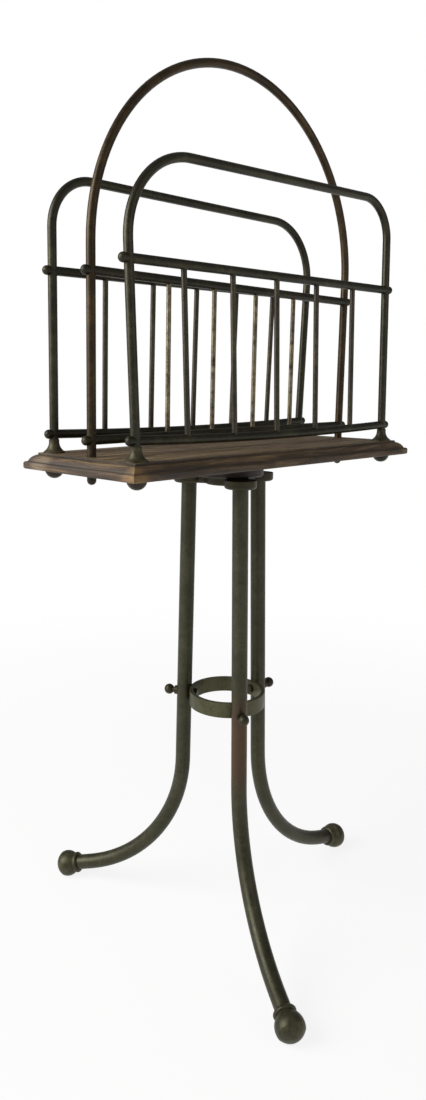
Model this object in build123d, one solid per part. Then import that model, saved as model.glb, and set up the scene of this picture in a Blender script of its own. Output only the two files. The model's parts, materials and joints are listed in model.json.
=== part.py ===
from build123d import *
import math
import os

# Newspaper rack: three rows of brass tube on a moulded board, carried by a tripod.
# Millimetres. The origin is on the floor under the middle of the board.
# +X runs along the rack, -Y is its front and +Z is up.

# Tripod
leg_dia = 19.05
leg_bore = 16.0
tripod_centre = (-3.4, 2.0)
leg_circle = 51.5            # radius at which the legs' tops stand
leg_lean = 1.14              # degrees that the straight part of each leg leans outwards
leg_bend_height = 200.8      # height at which the bend starts
leg_bend = 185.5             # bend radius on the tube's axis
leg_end_angle = 73.95        # degrees between the end of a leg and straight down
foot_radius = 16.7
foot_flat = 5.0              # radius of the flat that each ball stands on
foot_seat = 18.6             # from a ball's centre back to the leg's end
foot_spigot_dia = 15.0
foot_spigot_length = 10.0
legs = {                     # degrees: where each leg stands, and how far its bend turns aside from that
    "right": {"stand": -2.1, "toe": 0.8},
    "rear": {"stand": 117.6, "toe": -0.2},
    "front": {"stand": -121.9, "toe": 3.5},
}

# Board
board_top = 609.5
board_thickness = 18.0
flat_half_length = 227.0
flat_half_width = 83.0
moulding_width = 12.0
moulding_step = 2.0
ovolo_width = 8.4
ovolo_depth = 7.5
nose_radius = 2.4

# Tube rack on the board
tube_dia = 10.0
tube_bore = 8.0
post_x = 215.0               # nominal place of the posts, left and right
post_y = 70.0
row_lean = 1.48              # degrees that the front and rear rows lean inwards
head_height = 300.0          # height above the board at which the posts' heads are given
lower_rail = 20.8            # rail heights are above the board
upper_rail = 196.4
centre_lower_rail = 17.5
centre_upper_rail = 188.3
centre_upper_drop = 0.0135   # slope of the centre row's upper rail, down to the right
front_feet = (-214.7, 214.0)  # x of the left and right post axes at the board
front_heads = (-220.5, 222.9)
front_tops = (301.0, 309.0)   # heights of a bent tube's top at its left and right ends
rear_feet = (-214.4, 214.0)
rear_heads = (-217.4, 223.0)
rear_tops = (295.5, 291.5)
hoop_feet = (-216.2, 214.9)
hoop_heads = (-213.3, 223.1)
hoop_centre = (3.4, 219.0)    # centre of the arch, and its radius
hoop_radius = 217.6
rail_sag = 3.5
front_bends = (87.0, 47.0)    # bend radii of the top corners, left and right
rear_bends = (52.0, 75.0)
spindle_dia = 6.35
centre_spindle_dia = 5.6

# Fittings
knob_radius = 5.2
knob_skirt_radius = 4.9
knob_offset = 7.0            # knob centre beyond the post's axis
tie_rod_dia = 4.0
ferrule_base_radius = 12.0
ferrule_top_radius = 5.9
ferrule_height = 15.0
stud_dia = 6.0
plug_depth = 14.0
post_nut_radius = 10.5
post_nut_height = 10.5
hoop_stud_dia = 5.0
hoop_nut_radius = 5.0
hoop_nut_heights = (11.5, 18.0)

# Mounting under the board
block_radius = 42.0
block_thickness = 18.0
plate_thickness = 10.0
lobe_radius = 19.0
hub_radius = 30.0
arm_width = 22.0
plate_edge = 3.0
spigot_length = 30.0
spigot_stud_dia = 10.0
spigot_stud_height = 7.0
screw_circle = 20.0
screw_dia = 5.0
screw_head_radius = 4.6
screw_tip_radius = 1.0
screw_length = 38.0

# Stretcher ring
ring_height = 291.0
ring_outer = 47.5
ring_width = 18.5
ring_thickness = 4.5
bolt_dia = 5.0
bolt_ball_radius = 6.5
bolt_ball_reach = 11.0       # from the leg's face to the ball's centre
bolt_neck_radius = 3.6
bolt_collar_radius = 5.6
bolt_collar_thickness = 3.0
ring_nut_radius = 5.0
ring_nut_thickness = 4.0

board_bottom = board_top - board_thickness
block_bottom = board_bottom - block_thickness
plate_bottom = block_bottom - plate_thickness
ball_height = math.sqrt(foot_radius**2 - foot_flat**2)

rows = {
    "front": {
        "side": -1, "feet": front_feet, "heads": front_heads, "lower": lower_rail, "upper": upper_rail,
        "tops": front_tops, "bends": front_bends,
        "sag": rail_sag, "drop": 0.0, "spindle": spindle_dia, "places": (-2, -1, 0, 1, 2),
    },
    "centre": {
        "side": 0, "feet": hoop_feet, "heads": hoop_heads,
        "lower": centre_lower_rail, "upper": centre_upper_rail, "sag": 0.0, "drop": centre_upper_drop,
        "spindle": centre_spindle_dia, "places": (-1.5, -0.5, 0.5, 1.5),
    },
    "rear": {
        "side": 1, "feet": rear_feet, "heads": rear_heads, "lower": lower_rail, "upper": upper_rail,
        "tops": rear_tops, "bends": rear_bends,
        "sag": rail_sag, "drop": 0.0, "spindle": spindle_dia, "places": (-2, -1, 0, 1, 2),
    },
}
spindle_spaces = 6           # a row is divided into this many spaces


def below(height):
    """Everything under a level, to cut pieces off flush with it."""
    return Pos(0, 0, height - 100) * Box(700, 700, 200)


def rod(path, diameter):
    """A solid bar of round section along a path."""
    section = Plane(origin=path @ 0, z_dir=path % 0) * Circle(diameter / 2)
    return sweep(section, path=path)


def tube(path, outer, bore):
    """A round tube along a path."""
    return rod(path, outer) - rod(path, bore)


def cap_arc(radius, start, rise):
    """The outline of a spherical cap, from its rim to its crown on the axis."""
    sphere = (radius**2 + rise**2) / (2 * rise)
    half = math.asin(min(1.0, radius / sphere)) / 2
    centre = start + rise - sphere
    middle = (sphere * math.sin(half), centre + sphere * math.cos(half))
    return ThreePointArc((radius, start), middle, (0, start + rise))


def turned(profile, axis_start, direction):
    """A turned piece: profile holds a closed outline of (radius, distance along the axis)."""
    face = make_face(Plane.XZ * profile)
    solid = revolve(face, Axis.Z)
    return Plane(origin=axis_start, z_dir=direction) * solid


# Rows of posts and rails. Each is drawn in its own upright plane, x along it and z above the board.

def stand_up(row, shape):
    """Move a shape from a row's own plane to its place on the board."""
    return Location((0, row["side"] * post_y, board_top), (row["side"] * row_lean, 0, 0)) * shape


def post_place(row, hand, height):
    """x of a row's left (-1) or right (1) post axis at a height above the board."""
    end = (hand + 1) // 2
    foot = row["feet"][end]
    return foot + (row["heads"][end] - foot) * height / head_height


def post_axis(row, hand):
    """A post's foot and its direction, in the row's plane."""
    foot = Vector(post_place(row, hand, 0), 0, 0)
    head = Vector(post_place(row, hand, head_height), 0, head_height)
    return foot, (head - foot).normalized()


def post_bar(row, hand):
    """The straight part of a post as a solid bar, for shaping what fits round it."""
    foot, up = post_axis(row, hand)
    return rod(Line(foot - up * 5, foot + up * (row["upper"] + 15)), tube_dia)


def hoop_path():
    """The hoop's line: two straight legs that run into a round arch."""
    centre_x, centre_z = hoop_centre
    tangents = []
    for foot, hand in zip(hoop_feet, (-1, 1)):
        across = foot - centre_x
        spread = math.acos(hoop_radius / math.hypot(across, centre_z))
        angle = math.atan2(-centre_z, across) + hand * spread
        tangents.append((centre_x + hoop_radius * math.cos(angle), centre_z + hoop_radius * math.sin(angle)))
    left = Line((post_place(rows["centre"], -1, -1), -1), tangents[0])
    arch = ThreePointArc(tangents[0], (centre_x, centre_z + hoop_radius), tangents[1])
    right = Line(tangents[1], (post_place(rows["centre"], 1, -1), -1))
    return Wire([left.edge(), arch.edge(), right.edge()])


def frame_path(row):
    """The line of a front or rear tube: two posts and a top, joined by two bends."""
    left_top, right_top = row["tops"]
    corners = [
        (post_place(row, -1, -1), -1),
        (post_place(row, -1, left_top), left_top),
        (post_place(row, 1, right_top), right_top),
        (post_place(row, 1, -1), -1),
    ]
    return FilletPolyline(*corners, radius=list(row["bends"]))


def upright_path(row):
    """The line that a row's bent tube follows, from its left foot to its right foot."""
    return Plane.XZ * (hoop_path() if row["side"] == 0 else frame_path(row))


def rail_height(row, level, x):
    """Height of a rail's axis above the board; the long lower rails hang in a slight curve."""
    if level == "lower":
        return row["lower"] - row["sag"] * (1 - (x / post_x) ** 2)
    return row["upper"] - row["drop"] * x


def rail_path(row, level, extra=0.0):
    """A rail's axis between the post axes, or extra longer at each end."""
    left = post_place(row, -1, row[level]) - extra
    right = post_place(row, 1, row[level]) + extra
    ends = [(x, 0, rail_height(row, level, x)) for x in (left, right)]
    if level == "upper" or row["sag"] == 0:
        return Line(*ends)
    return ThreePointArc(ends[0], (0, 0, rail_height(row, level, 0)), ends[1])


def spindle_rod(row, place):
    """A spindle's bar from the lower rail's axis to the upper rail's."""
    ends = []
    for level in ("lower", "upper"):
        left = post_place(row, -1, row[level])
        right = post_place(row, 1, row[level])
        x = (left + right) / 2 + place * (right - left) / spindle_spaces
        ends.append((x, 0, rail_height(row, level, x)))
    return rod(Line(*ends), row["spindle"])


def make_upright(row):
    """The bent tube of a row, drilled for its two tie rods and cut flush with the board."""
    shape = tube(upright_path(row), tube_dia, tube_bore)
    for level in ("lower", "upper"):
        shape -= rod(rail_path(row, level, knob_offset), tie_rod_dia)
    return stand_up(row, shape) - below(board_top)


def make_rail(row, level):
    """A rail tube, coped to the posts and drilled for the spindles."""
    shape = tube(rail_path(row, level), tube_dia, tube_bore)
    for hand in (-1, 1):
        shape -= post_bar(row, hand)
    for place in row["places"]:
        shape -= spindle_rod(row, place)
    return stand_up(row, max(shape.solids(), key=lambda solid: solid.volume))


def make_tie_rod(row, level):
    """The rod inside a rail, through both posts and into both knobs."""
    return stand_up(row, rod(rail_path(row, level, knob_offset + 1.5), tie_rod_dia))


def make_knobs(row, level):
    """The two ball nuts on a tie rod, each with a short skirt hollowed to clamp its post."""
    skirt_end = knob_offset - math.sqrt(knob_radius**2 - knob_skirt_radius**2)
    tip = (0, knob_offset + knob_radius)
    outline = Wire([
        Line((0, 0), (knob_skirt_radius, 0)).edge(),
        Line((knob_skirt_radius, 0), (knob_skirt_radius, skirt_end)).edge(),
        ThreePointArc((knob_skirt_radius, skirt_end), (knob_radius, knob_offset), tip).edge(),
        Line(tip, (0, 0)).edge(),
    ])
    pair = []
    for hand in (-1, 1):
        end = post_place(row, hand, row[level])
        knob = turned(outline, (end, 0, rail_height(row, level, end)), (hand, 0, 0))
        knob -= post_bar(row, hand)
        knob -= rod(rail_path(row, level, knob_offset + 1.5), tie_rod_dia)
        pair.append(stand_up(row, knob))
    return pair


def make_spindle(row, place):
    """A spindle whose ends stop flush with the bores of the rails."""
    shape = spindle_rod(row, place)
    for level in ("lower", "upper"):
        shape -= rod(rail_path(row, level), tube_bore)
    return stand_up(row, shape)


# Feet of the posts

def stud_solid(row, hand, shank, depth):
    """A stud soldered into a tube's foot, with its shank going down through the board."""
    foot, up = post_axis(row, hand)
    plug = stand_up(row, rod(Line(foot - up, foot + up * plug_depth), tube_bore)) - below(board_top)
    return plug + stand_up(row, rod(Line(foot - up * depth, foot + up), shank))


def board_point(row, hand, height):
    """Where a post's axis meets a level."""
    foot, up = post_axis(row, hand)
    base = stand_up(row, Location((foot.X, foot.Y, foot.Z))).position
    tip = stand_up(row, Location(tuple(foot + up))).position
    along = (height - base.Z) / (tip.Z - base.Z)
    return base + (tip - base) * along


def make_ferrule(row, hand):
    """A trumpet-shaped ferrule that covers the joint of post and board."""
    edge = (ferrule_base_radius, 1.2)
    lip = (ferrule_top_radius, ferrule_height - 1)
    outline = Wire([
        Line((0, 0), (ferrule_base_radius, 0)).edge(),
        Line((ferrule_base_radius, 0), edge).edge(),
        ThreePointArc(edge, (7.2, 6.2), lip).edge(),
        Line(lip, (5.5, ferrule_height)).edge(),
        Line((5.5, ferrule_height), (0, ferrule_height)).edge(),
        Line((0, ferrule_height), (0, 0)).edge(),
    ])
    centre = board_point(row, hand, board_top)
    shape = turned(outline, centre, (0, 0, 1))
    return shape - stand_up(row, post_bar(row, hand))


def make_dome_nut(row, hand, radius, height, rim, stud):
    """A blind domed nut under the board."""
    outline = Wire([
        Line((0, 0), (radius, 0)).edge(),
        Line((radius, 0), (radius, rim)).edge(),
        cap_arc(radius, rim, height - rim).edge(),
        Line((0, height), (0, 0)).edge(),
    ])
    centre = board_point(row, hand, board_bottom)
    return turned(outline, centre, (0, 0, -1)) - stud


# Board

def moulding_outline(half_flat):
    """Section of the board across its full width, with a stepped ovolo and a rounded nose."""
    bottom = board_top - board_thickness
    step = board_top - moulding_step
    ledge = step - ovolo_depth
    nose_x = half_flat + moulding_width - nose_radius
    ovolo_middle = (half_flat + 0.62 * ovolo_width, step - 0.35 * ovolo_depth)
    right = [
        Line((0, board_top), (half_flat, board_top)),
        Line((half_flat, board_top), (half_flat, step)),
        ThreePointArc((half_flat, step), ovolo_middle, (half_flat + ovolo_width, ledge)),
        Line((half_flat + ovolo_width, ledge), (nose_x, ledge)),
        CenterArc((nose_x, ledge - nose_radius), nose_radius, 90, -90),
        Line((nose_x + nose_radius, ledge - nose_radius), (nose_x + nose_radius, bottom + nose_radius)),
        CenterArc((nose_x, bottom + nose_radius), nose_radius, 0, -90),
        Line((nose_x, bottom), (0, bottom)),
    ]
    edges = [piece.edge() for piece in right]
    mirrored = [edge.mirror(Plane.YZ) for edge in edges]
    return make_face(Wire(edges + mirrored))


def make_board(studs, screws):
    """The moulded board: the two sections run out and mitred at the corners."""
    reach = flat_half_length + 2 * moulding_width
    lengthways = extrude(Plane.XZ * moulding_outline(flat_half_length), amount=reach, both=True)
    crossways = extrude(Plane.YZ * moulding_outline(flat_half_width), amount=reach, both=True)
    board = lengthways & crossways
    for stud in studs:
        board -= stud
    for screw in screws:
        board -= screw
    return board


# Mounting

def at_stand(name):
    """Turn what is drawn from the tripod's axis towards +X to a leg's place."""
    return Pos(*tripod_centre, 0) * Rot(0, 0, legs[name]["stand"])


def at_leg(name):
    """Turn what is drawn for a leg, from the middle of its top towards +X, to the leg's place."""
    return at_stand(name) * Pos(leg_circle, 0, 0) * Rot(0, 0, legs[name]["toe"])


def above(height):
    """Everything over a level, to cut legs off flush under the plate."""
    return Pos(0, 0, height + 50) * Box(200, 200, 100)


def leg_down():
    """The direction of a leg's straight part."""
    lean = math.radians(leg_lean)
    return Vector(math.sin(lean), 0, -math.cos(lean))


def leg_point(height):
    """The point on the straight part of a leg's axis at a height."""
    down = leg_down()
    return Vector(0, 0, plate_bottom) + down * ((height - plate_bottom) / down.Z)


def leg_bar():
    """The straight part of a leg as a solid bar, for shaping what fits against it."""
    return rod(Line(leg_point(plate_bottom + 2), leg_point(leg_bend_height)), leg_dia)


def make_screw(angle):
    """A countersunk wood screw up through the plate and the block into the board."""
    outline = Wire([
        Line((0, 0), (screw_head_radius, 0)).edge(),
        Line((screw_head_radius, 0), (screw_dia / 2, 3)).edge(),
        Line((screw_dia / 2, 3), (screw_dia / 2, screw_length - 6)).edge(),
        Line((screw_dia / 2, screw_length - 6), (screw_tip_radius, screw_length)).edge(),
        Line((screw_tip_radius, screw_length), (0, screw_length)).edge(),
        Line((0, screw_length), (0, 0)).edge(),
    ])
    place = Pos(*tripod_centre, 0) * Rot(0, 0, angle) * Pos(screw_circle, 0, plate_bottom)
    return place * turned(outline, (0, 0, 0), (0, 0, 1))


def make_spigot(name):
    """The plug in the top of a leg, with the stud that screws into the plate."""
    top = leg_point(plate_bottom)
    plug = rod(Line(leg_point(plate_bottom + 1), leg_point(plate_bottom - spigot_length)), leg_bore)
    stud = rod(Line(top - (0, 0, 1), top + (0, 0, spigot_stud_height)), spigot_stud_dia)
    return at_leg(name) * (plug - above(plate_bottom) + stud)


def make_block(screws):
    """The round wooden block between board and plate."""
    block = Pos(*tripod_centre, block_bottom + block_thickness / 2) * Cylinder(block_radius, block_thickness)
    block = chamfer(block.edges().group_by(Axis.Z)[0], 2.0)
    for screw in screws:
        block -= screw
    return block


def make_plate(screws, spigots):
    """The cast plate: a hub with three round lobes over the legs."""
    outline = Circle(hub_radius)
    for leg in legs.values():
        outline += Rot(0, 0, leg["stand"]) * Pos(leg_circle / 2, 0) * Rectangle(leg_circle, arm_width)
        outline += Rot(0, 0, leg["stand"]) * Pos(leg_circle, 0) * Circle(lobe_radius)
    plate = extrude(Pos(*tripod_centre, plate_bottom) * outline, amount=plate_thickness)
    plate = fillet(plate.edges().group_by(Axis.Z)[0], plate_edge)
    for piece in screws + spigots:
        plate -= piece
    return plate


# Legs, feet and stretcher ring

def leg_bend_middle(angle):
    """A point on the bend where the leg has turned to an angle from straight down."""
    lean = math.radians(leg_lean)
    start = leg_point(leg_bend_height)
    out = leg_bend * (math.cos(lean) - math.cos(angle))
    down = leg_bend * (math.sin(angle) - math.sin(lean))
    return start + (out, 0, -down)


def leg_end():
    """The end of a leg tube, the centre of its ball and the direction between them."""
    angle = math.radians(leg_end_angle)
    bend_stop = leg_bend_middle(angle)
    out = Vector(math.sin(angle), 0, -math.cos(angle))
    ball = bend_stop + out * ((ball_height - bend_stop.Z) / out.Z)
    return ball - out * foot_seat, ball, out


def leg_path():
    """A leg's axis: nearly straight down, then round, then straight to its foot."""
    lean = math.radians(leg_lean)
    angle = math.radians(leg_end_angle)
    bend_start = leg_point(leg_bend_height)
    bend_stop = leg_bend_middle(angle)
    straight = Line(leg_point(plate_bottom + 2), bend_start)
    bend = ThreePointArc(bend_start, leg_bend_middle((lean + angle) / 2), bend_stop)
    toe = Line(bend_stop, leg_end()[0])
    return Wire([straight.edge(), bend.edge(), toe.edge()])


def make_bolt(name):
    """A ball-headed bolt through a leg and the ring."""
    leg_face = leg_circle + leg_point(ring_height).X + leg_dia / 2
    inner = ring_outer - ring_thickness - ring_nut_thickness
    ball_x = leg_face + bolt_ball_reach
    shank = rod(Line((inner, 0, ring_height), (ball_x, 0, ring_height)), bolt_dia)
    neck = rod(Line((leg_face - 2, 0, ring_height), (ball_x, 0, ring_height)), 2 * bolt_neck_radius)
    collar_line = Line((leg_face - 2, 0, ring_height), (leg_face + bolt_collar_thickness, 0, ring_height))
    collar = rod(collar_line, 2 * bolt_collar_radius)
    head = at_stand(name) * (neck + collar + Pos(ball_x, 0, ring_height) * Sphere(bolt_ball_radius))
    return head - at_leg(name) * leg_bar() + at_stand(name) * shank


def make_leg(name, bolt):
    """A bent leg tube, drilled for the ring bolt."""
    shape = tube(leg_path(), leg_dia, leg_bore) - above(plate_bottom)
    return at_leg(name) * shape - bolt


def make_foot(name):
    """A turned foot: spigot, bead, neck and ball with a low end cap, standing on a small flat."""
    bend_stop, ball, out = leg_end()
    seat = -foot_seat        # the bead's shoulder, which the leg's end butts against
    bead_radius = 13.2
    neck_radius = 11.3
    cap_start = 5.6
    cap_rise = 8.2
    cap_radius = math.sqrt(foot_radius**2 - cap_start**2)
    groove = 0.5
    neck_at = -math.sqrt(foot_radius**2 - neck_radius**2)
    outline = Wire([
        Line((0, seat), (bead_radius - 3.5, seat)).edge(),
        ThreePointArc((bead_radius - 3.5, seat), (bead_radius, seat + 3.6), (neck_radius, seat + 6)).edge(),
        Line((neck_radius, seat + 6), (neck_radius, neck_at)).edge(),
        ThreePointArc((neck_radius, neck_at), (foot_radius, 0), (cap_radius, cap_start)).edge(),
        Line((cap_radius, cap_start), (cap_radius - groove, cap_start + groove)).edge(),
        cap_arc(cap_radius - groove, cap_start + groove, cap_rise).edge(),
        Line((0, cap_start + groove + cap_rise), (0, seat)).edge(),
    ])
    spigot = rod(Line(bend_stop - out * foot_spigot_length, bend_stop), foot_spigot_dia)
    shape = turned(outline, ball, out) + spigot
    return at_leg(name) * (shape - below(0))


def make_ring(bolts):
    """The flat band that ties the three legs together, hollowed a little where each leg touches."""
    ring = Cylinder(ring_outer, ring_width) - Cylinder(ring_outer - ring_thickness, ring_width)
    ring = Pos(*tripod_centre, ring_height) * ring
    for name in legs:
        ring -= at_leg(name) * leg_bar()
    for bolt in bolts:
        ring -= bolt
    return ring


def make_ring_nut(name, bolt):
    """The round nut inside the ring on a bolt's end."""
    face = ring_outer - ring_thickness
    line = Line((face - ring_nut_thickness, 0, ring_height), (ring_outer, 0, ring_height))
    nut = rod(line, 2 * ring_nut_radius)
    nut &= Pos(0, 0, ring_height) * Cylinder(face, ring_width)
    return at_stand(name) * nut - bolt


def write(name, shapes):
    """Write one piece, or a group of identical pieces, as its own STEP file."""
    solids = []
    for shape in shapes:
        solids.extend(shape.solids())
    body = solids[0] if len(solids) == 1 else Compound(solids)
    body.label = name
    export_step(body, f"parts/{name}.step")


def main():
    os.makedirs("parts", exist_ok=True)
    hands = {"left": -1, "right": 1}

    post_studs = {}
    for row_name in ("front", "rear"):
        row = rows[row_name]
        for hand_name, hand in hands.items():
            depth = board_thickness + post_nut_height - 3
            post_studs[row_name, hand_name] = stud_solid(row, hand, stud_dia, depth)
    hoop_studs = []
    for hand, nut_height in zip(hands.values(), hoop_nut_heights):
        depth = board_thickness + nut_height - 3
        hoop_studs.append(stud_solid(rows["centre"], hand, hoop_stud_dia, depth))
    screws = [make_screw(angle) for angle in (60, 180, 300)]
    write("base_board", [make_board(list(post_studs.values()) + hoop_studs, screws)])
    write("post_studs", post_studs.values())
    write("hoop_studs", hoop_studs)

    post_nuts = []
    for (row_name, hand_name), stud in post_studs.items():
        row = rows[row_name]
        hand = hands[hand_name]
        post_nuts.append(make_dome_nut(row, hand, post_nut_radius, post_nut_height, 2.0, stud))
        write(f"{row_name}_{hand_name}_ferrule", [make_ferrule(row, hand)])
    write("post_nuts", post_nuts)
    hoop_nuts = []
    for hand, nut_height, stud in zip(hands.values(), hoop_nut_heights, hoop_studs):
        rim = nut_height - hoop_nut_radius
        hoop_nuts.append(make_dome_nut(rows["centre"], hand, hoop_nut_radius, nut_height, rim, stud))
    write("hoop_nuts", hoop_nuts)

    for row_name, row in rows.items():
        upright_name = "handle_hoop" if row_name == "centre" else f"{row_name}_frame"
        write(upright_name, [make_upright(row)])
        for level in ("lower", "upper"):
            write(f"{row_name}_{level}_rail", [make_rail(row, level)])
            write(f"{row_name}_{level}_tie_rod", [make_tie_rod(row, level)])
            write(f"{row_name}_{level}_knobs", make_knobs(row, level))
        for number, place in enumerate(row["places"], start=1):
            write(f"{row_name}_spindle_{number}", [make_spindle(row, place)])

    bolts = {name: make_bolt(name) for name in legs}
    spigots = [make_spigot(name) for name in legs]
    write("mounting_block", [make_block(screws)])
    write("top_plate", [make_plate(screws, spigots)])
    write("plate_screws", screws)
    write("leg_spigots", spigots)
    for name in legs:
        write(f"{name}_leg", [make_leg(name, bolts[name])])
        write(f"{name}_foot", [make_foot(name)])
    write("stretcher_ring", [make_ring(bolts.values())])
    write("ring_bolts", bolts.values())
    write("ring_nuts", [make_ring_nut(name, bolt) for name, bolt in bolts.items()])


main()
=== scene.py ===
import json
import math

import bmesh
import bpy
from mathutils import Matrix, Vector


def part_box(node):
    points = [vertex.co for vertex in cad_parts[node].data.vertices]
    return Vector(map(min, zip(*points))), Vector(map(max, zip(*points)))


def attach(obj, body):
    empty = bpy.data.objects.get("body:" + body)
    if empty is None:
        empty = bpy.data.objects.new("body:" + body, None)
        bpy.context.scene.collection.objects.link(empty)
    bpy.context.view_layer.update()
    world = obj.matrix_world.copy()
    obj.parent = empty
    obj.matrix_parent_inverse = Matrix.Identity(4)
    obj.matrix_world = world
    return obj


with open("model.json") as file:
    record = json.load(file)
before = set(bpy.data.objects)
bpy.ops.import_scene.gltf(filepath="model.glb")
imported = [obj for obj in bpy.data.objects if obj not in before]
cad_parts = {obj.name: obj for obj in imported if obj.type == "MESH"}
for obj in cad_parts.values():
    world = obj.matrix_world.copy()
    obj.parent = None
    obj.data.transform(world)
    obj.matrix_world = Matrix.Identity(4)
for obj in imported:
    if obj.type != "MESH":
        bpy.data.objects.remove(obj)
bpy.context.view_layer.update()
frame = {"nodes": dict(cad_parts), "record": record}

nodes = frame["nodes"]
print("frame loaded:", len(nodes), "nodes")


def toLinear(code):
    # sRGB hex to a linear colour
    values = [int(code[i:i + 2], 16) / 255 for i in (1, 3, 5)]
    linear = [v / 12.92 if v <= 0.04045 else ((v + 0.055) / 1.055) ** 2.4 for v in values]
    return (*linear, 1.0)


def perMetre(size):
    # texture scale for features of that size in millimetres
    return 1000 / size


def addNode(tree, kind, links=None, fixed=None, **settings):
    # links and fixed go by a socket's name or number; a setting is a property or else a socket
    node = tree.nodes.new(kind)
    for name, value in settings.items():
        if hasattr(node, name):
            setattr(node, name, value)
        else:
            node.inputs[name.replace("_", " ")].default_value = value
    for socket, value in (fixed or {}).items():
        node.inputs[socket].default_value = value
    for socket, source in (links or {}).items():
        tree.links.new(source, node.inputs[socket])
    return node


# socket numbers of the colour and vector kinds of the mix node
mixColourA, mixColourB, mixColourOut = 6, 7, 2
mixVectorA, mixVectorB, mixVectorOut = 4, 5, 1


def setStops(ramp, stops):
    # stops are (place, colour), in order
    row = ramp.color_ramp.elements
    while len(row) < len(stops):
        row.new(0.5)
    for stop, (place, colour) in zip(row, stops):
        stop.position = place
        stop.color = toLinear(colour)


def newMaterial(name):
    material = bpy.data.materials.new(name)
    material.use_nodes = True
    tree = material.node_tree
    tree.nodes.clear()
    shader = addNode(tree, "ShaderNodeBsdfPrincipled")
    addNode(tree, "ShaderNodeOutputMaterial", {"Surface": shader.outputs["BSDF"]})
    return material, tree, shader


def rubSpot(tree, coord, waver, colour, spot, edge):
    # a rubbed or bleached spot round a place, with an uneven edge
    away = addNode(tree, "ShaderNodeVectorMath", {0: coord}, {1: spot["centre"]}, operation="DISTANCE")
    wavy = addNode(tree, "ShaderNodeMath", {0: waver, 2: away.outputs["Value"]},
                   {1: spot["reach"] * edge["waver"]}, operation="MULTIPLY_ADD")
    mask = addNode(tree, "ShaderNodeMapRange", {"Value": wavy.outputs["Value"]},
                   interpolation_type="SMOOTHSTEP", From_Min=spot["reach"] * edge["inner"],
                   From_Max=spot["reach"] * edge["outer"], To_Min=spot["amount"], To_Max=0.0)
    mixed = addNode(tree, "ShaderNodeMix", {"Factor": mask.outputs["Result"], mixColourA: colour},
                    {mixColourB: toLinear(spot["colour"])}, data_type="RGBA")
    return mixed.outputs[mixColourOut]


# Patinated brass: drawn tube and castings gone brown to olive with age.
# The oxide dulls it to a satin, thin where hands and papers rub, with small darker specks.
def patinatedBrass(name, look):
    material, tree, shader = newMaterial(name)
    coord = addNode(tree, "ShaderNodeTexCoord").outputs["Object"]
    patches = addNode(tree, "ShaderNodeTexNoise", {"Vector": coord},
                      Scale=perMetre(look["patch"]), Detail=5.0, Roughness=0.62, Distortion=0.4)
    mottle = addNode(tree, "ShaderNodeTexNoise", {"Vector": coord},
                     Scale=perMetre(look["mottle"]), Detail=6.0, Roughness=0.7)
    blend = addNode(tree, "ShaderNodeMix", {"A": patches.outputs["Fac"], "B": mottle.outputs["Fac"]},
                    Factor=0.45)
    ramp = addNode(tree, "ShaderNodeValToRGB", {"Fac": blend.outputs["Result"]})
    setStops(ramp, look["colours"])
    specks = addNode(tree, "ShaderNodeTexNoise", {"Vector": coord}, Scale=perMetre(look["speck"]), Detail=2.0)
    speckMask = addNode(tree, "ShaderNodeMapRange", {"Value": specks.outputs["Fac"]},
                        From_Min=0.60, From_Max=0.68, To_Max=0.35)
    speckled = addNode(tree, "ShaderNodeMix",
                       {"Factor": speckMask.outputs["Result"], mixColourA: ramp.outputs["Color"]},
                       {mixColourB: toLinear(look["speckColour"])}, data_type="RGBA")
    colour = speckled.outputs[mixColourOut]
    for spot in look["spots"]:
        edge = {"waver": 0.9, "inner": 0.7, "outer": 1.5}
        colour = rubSpot(tree, coord, patches.outputs["Fac"], colour, spot, edge)
    tree.links.new(colour, shader.inputs["Base Color"])
    dull = addNode(tree, "ShaderNodeMapRange", {"Value": mottle.outputs["Fac"]}, From_Min=0.3, From_Max=0.7,
                   To_Min=look["roughness"][0], To_Max=look["roughness"][1])
    tree.links.new(dull.outputs["Result"], shader.inputs["Roughness"])
    pits = addNode(tree, "ShaderNodeTexNoise", {"Vector": coord}, Scale=perMetre(look["pit"]), Detail=4.0,
                   Roughness=0.6)
    relief = addNode(tree, "ShaderNodeBump", {"Height": pits.outputs["Fac"]}, Strength=look["relief"],
                     Distance=0.0004)
    tree.links.new(relief.outputs["Normal"], shader.inputs["Normal"])
    shader.inputs["Metallic"].default_value = look["metallic"]
    return material


# patch, mottle, speck and pit are sizes in millimetres
hoopLook = {
    "patch": 70, "mottle": 9, "speck": 3.5, "pit": 1.6,
    "relief": 0.25, "metallic": 0.65, "roughness": (0.34, 0.5),
    "colours": [(0.30, "#211A0F"), (0.48, "#372B19"), (0.62, "#4A3A22"), (0.78, "#604C2E")],
    "speckColour": "#17130F", "spots": [],
}
postLook = {
    "patch": 60, "mottle": 8, "speck": 3.5, "pit": 1.6,
    "relief": 0.25, "metallic": 0.65, "roughness": (0.32, 0.48),
    "colours": [(0.30, "#1F1D14"), (0.50, "#302E20"), (0.66, "#43402E"), (0.80, "#5A553F")],
    "speckColour": "#15130E", "spots": [],
}
railLook = {
    "patch": 50, "mottle": 8, "speck": 3.5, "pit": 1.6,
    "relief": 0.25, "metallic": 0.6, "roughness": (0.36, 0.52),
    "colours": [(0.30, "#1B1A0F"), (0.50, "#282617"), (0.64, "#423E28"), (0.76, "#5E5739")],
    "speckColour": "#12120D", "spots": [],
}
spindleLook = {
    "patch": 45, "mottle": 7, "speck": 3, "pit": 1.4,
    "relief": 0.25, "metallic": 0.6, "roughness": (0.34, 0.5),
    "colours": [(0.30, "#26241C"), (0.48, "#3A3529"), (0.64, "#544A39"), (0.80, "#6E6048")],
    "speckColour": "#1A1812", "spots": [],
}
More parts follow.
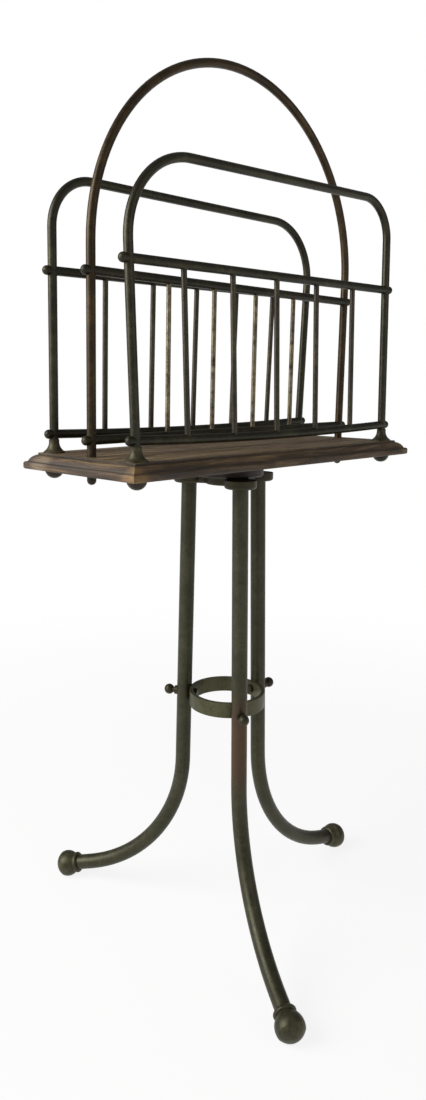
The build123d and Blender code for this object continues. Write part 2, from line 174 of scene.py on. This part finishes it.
# the centre spindles, where papers have rubbed the patina through; their bright gold is partly painted light,
# standing in for light from behind
rubbedBacklitLook = {
    "patch": 38, "mottle": 6, "speck": 3, "pit": 1.4,
    "relief": 0.25, "metallic": 0.75, "roughness": (0.3, 0.46),
    "colours": [(0.38, "#2B251A"), (0.46, "#5C5240"), (0.55, "#82775F"), (0.70, "#A89C80")],
    "speckColour": "#3A2F20", "spots": [],
}
ferruleLook = {
    "patch": 14, "mottle": 4, "speck": 2.5, "pit": 1.2,
    "relief": 0.35, "metallic": 0.5, "roughness": (0.42, 0.58),
    "colours": [(0.34, "#262213"), (0.48, "#3D3824"), (0.62, "#514A34"), (0.78, "#6C6448")],
    "speckColour": "#24241C", "spots": [],
}
legLook = {
    "patch": 80, "mottle": 10, "speck": 4, "pit": 1.8,
    "relief": 0.28, "metallic": 0.6, "roughness": (0.36, 0.54),
    "colours": [(0.30, "#28271A"), (0.48, "#383726"), (0.64, "#474633"), (0.80, "#5B5A43")],
    "speckColour": "#1E1E17",
    # the front leg is rubbed to a redder brown just under the ring
    "spots": [{
        "centre": (
            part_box("front_leg")[1][0] - 0.012,
            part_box("front_leg")[1][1] - 0.012,
            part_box("stretcher_ring")[0][2] - 0.03,
        ),
        "reach": 0.075, "amount": 0.65, "colour": "#543A28",
    }],
}
ringLook = {
    **legLook, "spots": [],
    "colours": [(0.30, "#34331F"), (0.48, "#4A4931"), (0.64, "#5C5A40"), (0.80, "#737051")],
}
castLook = {
    "patch": 26, "mottle": 6, "speck": 3, "pit": 1.0,
    "relief": 0.45, "metallic": 0.55, "roughness": (0.38, 0.56),
    "colours": [(0.30, "#1E1B0F"), (0.48, "#312D1A"), (0.64, "#433E27"), (0.80, "#5A5338")],
    "speckColour": "#17160F", "spots": [],
}
footLook = {
    **castLook,
    "colours": [(0.34, "#26241A"), (0.48, "#3D3B28"), (0.60, "#535139"), (0.74, "#6C6A50")],
}
nutLook = {
    **castLook,
    "colours": [(0.34, "#15110A"), (0.48, "#241D12"), (0.62, "#33291B"), (0.78, "#463A29")],
}
# dull steel: bar and screws, a bare metal under a thin brown film
steelLook = {
    "patch": 20, "mottle": 4, "speck": 2, "pit": 1.0,
    "relief": 0.3, "metallic": 1.0, "roughness": (0.4, 0.6),
    "colours": [(0.30, "#4A4743"), (0.50, "#5E5A55"), (0.70, "#716C66")],
    "speckColour": "#3B2E25", "spots": [],
}
print("brass looks set")


# Oiled oak, planed and moulded: open grain along the board, lighter on top and darker on the edges.
# Pores are drawn 1 mm wide, coarser than real, so that they show.
def wornWood(name, look):
    material, tree, shader = newMaterial(name)
    coord = addNode(tree, "ShaderNodeTexCoord").outputs["Object"]
    normal = addNode(tree, "ShaderNodeNewGeometry").outputs["Normal"]
    facing = addNode(tree, "ShaderNodeSeparateXYZ", {"Vector": normal})

    # the grain wavers, and on the mitred end mouldings it runs across the board
    warp = addNode(tree, "ShaderNodeTexNoise", {"Vector": coord}, Scale=perMetre(160), Detail=2.0)
    sway = look["sway"] / 1000
    bent = addNode(tree, "ShaderNodeVectorMath", {0: warp.outputs["Color"], 2: coord}, {1: (0.0, sway, sway)},
                   operation="MULTIPLY_ADD")
    lengthways = addNode(tree, "ShaderNodeMapping", {"Vector": bent.outputs["Vector"]},
                         {"Scale": (0.045, 1.0, 1.0)})
    crossways = addNode(tree, "ShaderNodeMapping", {"Vector": bent.outputs["Vector"]},
                        {"Scale": (1.0, 0.06, 1.0)})
    endways = addNode(tree, "ShaderNodeMath", {0: facing.outputs["X"]}, operation="ABSOLUTE")
    isEnd = addNode(tree, "ShaderNodeMath", {0: endways.outputs["Value"]}, {1: 0.25},
                    operation="GREATER_THAN")
    along = addNode(tree, "ShaderNodeMix",
                    {"Factor": isEnd.outputs["Value"], mixVectorA: lengthways.outputs["Vector"],
                     mixVectorB: crossways.outputs["Vector"]}, data_type="VECTOR")
    grain = along.outputs[mixVectorOut]
    figure = addNode(tree, "ShaderNodeTexNoise", {"Vector": grain},
                     Scale=perMetre(look["figure"]), Detail=7.0, Roughness=0.65, Distortion=0.5)
    pores = addNode(tree, "ShaderNodeTexNoise", {"Vector": grain},
                    Scale=perMetre(look["pore"]), Detail=3.0, Roughness=0.5)
    stains = addNode(tree, "ShaderNodeTexNoise", {"Vector": coord}, Scale=perMetre(look["stain"]), Detail=4.0,
                     Roughness=0.6)

    # lighter where it faces up, darker on the edges
    topRamp = addNode(tree, "ShaderNodeValToRGB", {"Fac": figure.outputs["Fac"]})
    setStops(topRamp, look["top"])
    sideRamp = addNode(tree, "ShaderNodeValToRGB", {"Fac": figure.outputs["Fac"]})
    setStops(sideRamp, look["side"])
    uneven = addNode(tree, "ShaderNodeMath", {0: stains.outputs["Fac"], 2: facing.outputs["Z"]}, {1: 0.5},
                     operation="MULTIPLY_ADD")
    upward = addNode(tree, "ShaderNodeMapRange", {"Value": uneven.outputs["Value"]}, From_Min=0.75,
                     From_Max=1.15)
    faces = addNode(tree, "ShaderNodeMix",
                    {"Factor": upward.outputs["Result"], mixColourA: sideRamp.outputs["Color"],
                     mixColourB: topRamp.outputs["Color"]}, data_type="RGBA")
    colour = faces.outputs[mixColourOut]
    for spot in look["spots"]:
        edge = {"waver": 0.8, "inner": 0.6, "outer": 1.4}
        colour = rubSpot(tree, coord, stains.outputs["Fac"], colour, spot, edge)

    # painted shade: a dark line along each step of the moulding, where the crevice falls in shade
    place = addNode(tree, "ShaderNodeSeparateXYZ", {"Vector": coord})
    for shadeHeight in look["paintedShadeHeights"]:
        above = addNode(tree, "ShaderNodeMath", {0: place.outputs["Z"]}, {1: shadeHeight}, operation="SUBTRACT")
        gap = addNode(tree, "ShaderNodeMath", {0: above.outputs["Value"]}, operation="ABSOLUTE")
        mask = addNode(tree, "ShaderNodeMapRange", {"Value": gap.outputs["Value"]},
                       interpolation_type="SMOOTHSTEP", From_Min=0.0002, From_Max=0.0016,
                       To_Min=0.6, To_Max=0.0)
        stepShade = addNode(tree, "ShaderNodeMix", {"Factor": mask.outputs["Result"], mixColourA: colour},
                        {mixColourB: toLinear("#150D06")}, data_type="RGBA")
        colour = stepShade.outputs[mixColourOut]
    poreMask = addNode(tree, "ShaderNodeMapRange", {"Value": pores.outputs["Fac"]}, From_Min=0.56,
                       From_Max=0.66, To_Max=0.7)
    pored = addNode(tree, "ShaderNodeMix", {"Factor": poreMask.outputs["Result"], mixColourA: colour},
                    {mixColourB: toLinear(look["poreColour"])}, data_type="RGBA")
    tree.links.new(pored.outputs[mixColourOut], shader.inputs["Base Color"])

    sheen = addNode(tree, "ShaderNodeMapRange", {"Value": stains.outputs["Fac"]}, From_Min=0.3, From_Max=0.7,
                    To_Min=look["roughness"][0], To_Max=look["roughness"][1])
    tree.links.new(sheen.outputs["Result"], shader.inputs["Roughness"])
    height = addNode(tree, "ShaderNodeMix", {"A": figure.outputs["Fac"], "B": pores.outputs["Fac"]},
                     Factor=0.6)
    relief = addNode(tree, "ShaderNodeBump", {"Height": height.outputs["Result"]}, Strength=0.5,
                     Distance=0.0008)
    tree.links.new(relief.outputs["Normal"], shader.inputs["Normal"])
    shader.inputs["IOR"].default_value = 1.5
    return material


boardLow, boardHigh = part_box("base_board")
# figure, pore, stain and sway are in millimetres; the spots are worn corners
boardLook = {
    "figure": 6, "pore": 1.0, "stain": 45, "sway": 26, "roughness": (0.5, 0.68), "poreColour": "#2A2018",
    # painted shade: heights of the dark lines in the steps of the moulding
    "paintedShadeHeights": [boardHigh[2] - 0.0022, boardHigh[2] - 0.0096],
    "top": [(0.34, "#3E2D19"), (0.45, "#5F4B30"), (0.56, "#7C674A"), (0.70, "#988462")],
    "side": [(0.34, "#1F140A"), (0.47, "#382711"), (0.58, "#50391F"), (0.72, "#7A6341")],
    "spots": [
        {"centre": (boardLow[0] + 0.006, boardLow[1] + 0.004, boardLow[2] + 0.004),
         "reach": 0.020, "amount": 0.8, "colour": "#8C6C40"},
        {"centre": (boardLow[0] + 0.002, boardHigh[1] - 0.03, boardLow[2] + 0.008),
         "reach": 0.022, "amount": 0.6, "colour": "#84725A"},
        {"centre": (boardHigh[0] - 0.004, boardLow[1] + 0.004, boardLow[2] + 0.008),
         "reach": 0.016, "amount": 0.6, "colour": "#846C4C"},
    ],
}
blockLook = {
    "figure": 9, "pore": 1.0, "stain": 30, "sway": 12, "roughness": (0.5, 0.65), "poreColour": "#150F0A",
    "paintedShadeHeights": [], "spots": [],
    "top": [(0.30, "#241A12"), (0.60, "#3A2B1D"), (0.80, "#49382A")],
    "side": [(0.30, "#1E150E"), (0.60, "#33251A"), (0.80, "#443225")],
}
print("wood looks set")

finishes = {
    "board_wood": wornWood("wornOak", boardLook),
    "block_wood": wornWood("stainedBlock", blockLook),
    "hoop_brass": patinatedBrass("brownedHoopBrass", hoopLook),
    "post_brass": patinatedBrass("darkPostBrass", postLook),
    "rail_brass": patinatedBrass("oliveRailBrass", railLook),
    "spindle_brass": patinatedBrass("darkSpindleBrass", spindleLook),
    # centre spindles: rubbed brass, brightened with painted backlight
    "rubbed_brass": patinatedBrass("rubbedBacklitSpindleBrass", rubbedBacklitLook),
    "ferrule_brass": patinatedBrass("greyedFerruleBrass", ferruleLook),
    "leg_brass": patinatedBrass("oliveLegBrass", legLook),
    "cast_brass": patinatedBrass("castBrass", castLook),
    "steel": patinatedBrass("dullSteel", steelLook),
}
footBrass = patinatedBrass("oliveFootBrass", footLook)
nutBrass = patinatedBrass("blackenedNutBrass", nutLook)
# nodes whose tone differs from the rest of their slot
ownFinishes = {
    "stretcher_ring": patinatedBrass("oliveRingBrass", ringLook),
    "front_foot": footBrass, "rear_foot": footBrass, "right_foot": footBrass,
    "post_nuts": nutBrass, "hoop_nuts": nutBrass,
}
for part in frame["record"]["subparts"]:
    mesh = nodes[part["node"]].data
    mesh.materials.clear()
    mesh.materials.append(ownFinishes.get(part["node"], finishes[part["material_slot"]]))
print("finishes on every node")


# Soft solder where a spindle enters a rail: an uneven bead, in metres
solder = {
    "beadRadius": 0.0007, "steps": 20, "sides": 8,
    "swell": 0.18,          # how much the bead thickens and thins round the spindle
    "stretch": 1.3,         # its height over its width
    "inset": 0.0012,        # how far the bead's middle stands from the spindle's end
    "endZone": 0.004,       # part of the spindle that is measured to find its end
}


def solderBead(mesh, centre, radius):
    rows = []
    for i in range(solder["steps"]):
        turn = 2 * math.pi * i / solder["steps"]
        thick = solder["beadRadius"] * (1 + solder["swell"] * math.sin(3 * turn + centre.x * 90))
        row = []
        for k in range(solder["sides"]):
            roll = 2 * math.pi * k / solder["sides"]
            out = radius + thick * math.cos(roll)
            up = thick * solder["stretch"] * math.sin(roll)
            row.append(mesh.verts.new(centre + Vector((out * math.cos(turn), out * math.sin(turn), up))))
        rows.append(row)
    for i, row in enumerate(rows):
        following = rows[(i + 1) % len(rows)]
        for k in range(solder["sides"]):
            n = (k + 1) % solder["sides"]
            mesh.faces.new((row[k], following[k], following[n], row[n]))


def solderSpindle(mesh, spindle):
    # one bead at each end
    heights = [v.co.z for v in spindle.vertices]
    for near, side in ((min(heights), 1), (max(heights), -1)):
        end = [v.co for v in spindle.vertices if abs(v.co.z - near) < solder["endZone"]]
        middle = sum(end, Vector()) / len(end)
        radius = (max(v.x for v in end) - min(v.x for v in end)) / 2
        solderBead(mesh, Vector((middle.x, middle.y, near + side * solder["inset"])), radius)


for rowName, count in (("front", 5), ("centre", 4), ("rear", 5)):
    shape = bmesh.new()
    for number in range(1, count + 1):
        solderSpindle(shape, nodes[f"{rowName}_spindle_{number}"].data)
    bmesh.ops.recalc_face_normals(shape, faces=shape.faces)
    data = bpy.data.meshes.new(f"{rowName}_solder")
    shape.to_mesh(data)
    shape.free()
    data.polygons.foreach_set("use_smooth", [True] * len(data.polygons))
    bead = bpy.data.objects.new(f"{rowName}_solder", data)
    bpy.context.scene.collection.objects.link(bead)
    data.materials.append(finishes["ferrule_brass"])
    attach(bead, "root")
print("solder beads made")


# Studio: a pale floor that fades to white away from the rack, and keeps its shadow
studio = {
    "floorHalf": 30.0,                 # metres
    "fadeFrom": 0.35, "fadeTo": 1.6,   # metres from the rack
    "nearWhite": 0.86,                 # share of plain white near the rack
    "ambient": 0.24,
    "keyWatts": 64.0, "fillWatts": 6.0, "lampSize": 1.8,
}
half = studio["floorHalf"]
floorData = bpy.data.meshes.new("studioFloor")
floorCorners = [(-half, -half, 0), (half, -half, 0), (half, half, 0), (-half, half, 0)]
floorData.from_pydata(floorCorners, [], [(0, 1, 2, 3)])
floor = bpy.data.objects.new("studioFloor", floorData)
bpy.context.scene.collection.objects.link(floor)
floorMaterial = bpy.data.materials.new("paleFloor")
floorMaterial.use_nodes = True
tree = floorMaterial.node_tree
tree.nodes.clear()
path = addNode(tree, "ShaderNodeLightPath")
seen = addNode(tree, "ShaderNodeMath", {0: path.outputs["Is Camera Ray"], 1: path.outputs["Is Glossy Ray"]},
               operation="MAXIMUM")
position = addNode(tree, "ShaderNodeNewGeometry").outputs["Position"]
away = addNode(tree, "ShaderNodeVectorMath", {0: position}, operation="LENGTH")
fade = addNode(tree, "ShaderNodeMapRange", {"Value": away.outputs["Value"]}, interpolation_type="SMOOTHSTEP",
               From_Min=studio["fadeFrom"], From_Max=studio["fadeTo"], To_Min=studio["nearWhite"], To_Max=1.0)
share = addNode(tree, "ShaderNodeMath", {0: seen.outputs["Value"], 1: fade.outputs["Result"]},
                operation="MULTIPLY")
plain = addNode(tree, "ShaderNodeBsdfDiffuse", Color=toLinear("#F4F4F2"))
glow = addNode(tree, "ShaderNodeEmission", Color=toLinear("#FFFFFF"), Strength=1.0)
cover = addNode(tree, "ShaderNodeMixShader",
                {0: share.outputs["Value"], 1: plain.outputs["BSDF"], 2: glow.outputs["Emission"]})
addNode(tree, "ShaderNodeOutputMaterial", {"Surface": cover.outputs["Shader"]})
floorData.materials.append(floorMaterial)

world = bpy.data.worlds.new("studioWorld")
bpy.context.scene.world = world
world.use_nodes = True
tree = world.node_tree
tree.nodes.clear()
path = addNode(tree, "ShaderNodeLightPath")
backdrop = addNode(tree, "ShaderNodeBackground", Color=toLinear("#FFFFFF"), Strength=1.0)
ambient = addNode(tree, "ShaderNodeBackground", Color=toLinear("#FFFFFF"), Strength=studio["ambient"])
sky = addNode(tree, "ShaderNodeMixShader",
              {0: path.outputs["Is Camera Ray"], 1: ambient.outputs["Background"],
               2: backdrop.outputs["Background"]})
addNode(tree, "ShaderNodeOutputWorld", {"Surface": sky.outputs["Shader"]})


def softLamp(name, place, aim, watts):
    lamp = bpy.data.lights.new(name, "AREA")
    lamp.shape = "DISK"
    lamp.size = studio["lampSize"]
    lamp.energy = watts
    holder = bpy.data.objects.new(name, lamp)
    bpy.context.scene.collection.objects.link(holder)
    holder.location = place
    holder.rotation_euler = (aim - place).to_track_quat("-Z", "Y").to_euler()


# Camera to the left of the front row; the lamps stand either side of it
eye = {
    "place": (-0.7488, -0.6948, 0.6911), "turn": -42.5435, "tilt": -7.5917,   # metres and degrees
    "lens": 27.343, "shift": (0.0432, -0.0547),
}
turn = math.radians(eye["turn"])
tilt = math.radians(eye["tilt"])
ahead = Vector((-math.sin(turn) * math.cos(tilt), math.cos(turn) * math.cos(tilt), math.sin(tilt)))
leftward = Vector((-math.cos(turn), -math.sin(turn), 0))
middle = Vector((0, 0, 0.55))
keyPlace = middle + leftward * 1.9 - ahead * 0.7 + Vector((0, 0, 0.9))
fillPlace = middle - leftward * 1.6 - ahead * 1.2 + Vector((0, 0, 0.6))
softLamp("softKey", keyPlace, middle, studio["keyWatts"])
softLamp("softFill", fillPlace, middle, studio["fillWatts"])

camera = bpy.data.cameras.new("viewCamera")
camera.sensor_width = 36.0
camera.sensor_fit = "AUTO"
camera.lens = eye["lens"]
camera.shift_x, camera.shift_y = eye["shift"]
camera.clip_start = 0.02
camera.clip_end = 100.0
viewer = bpy.data.objects.new("viewCamera", camera)
bpy.context.scene.collection.objects.link(viewer)
viewer.location = eye["place"]
viewer.rotation_euler = ahead.to_track_quat("-Z", "Y").to_euler()
bpy.context.scene.camera = viewer
bpy.context.scene.view_settings.view_transform = "Standard"
print("studio and camera set")
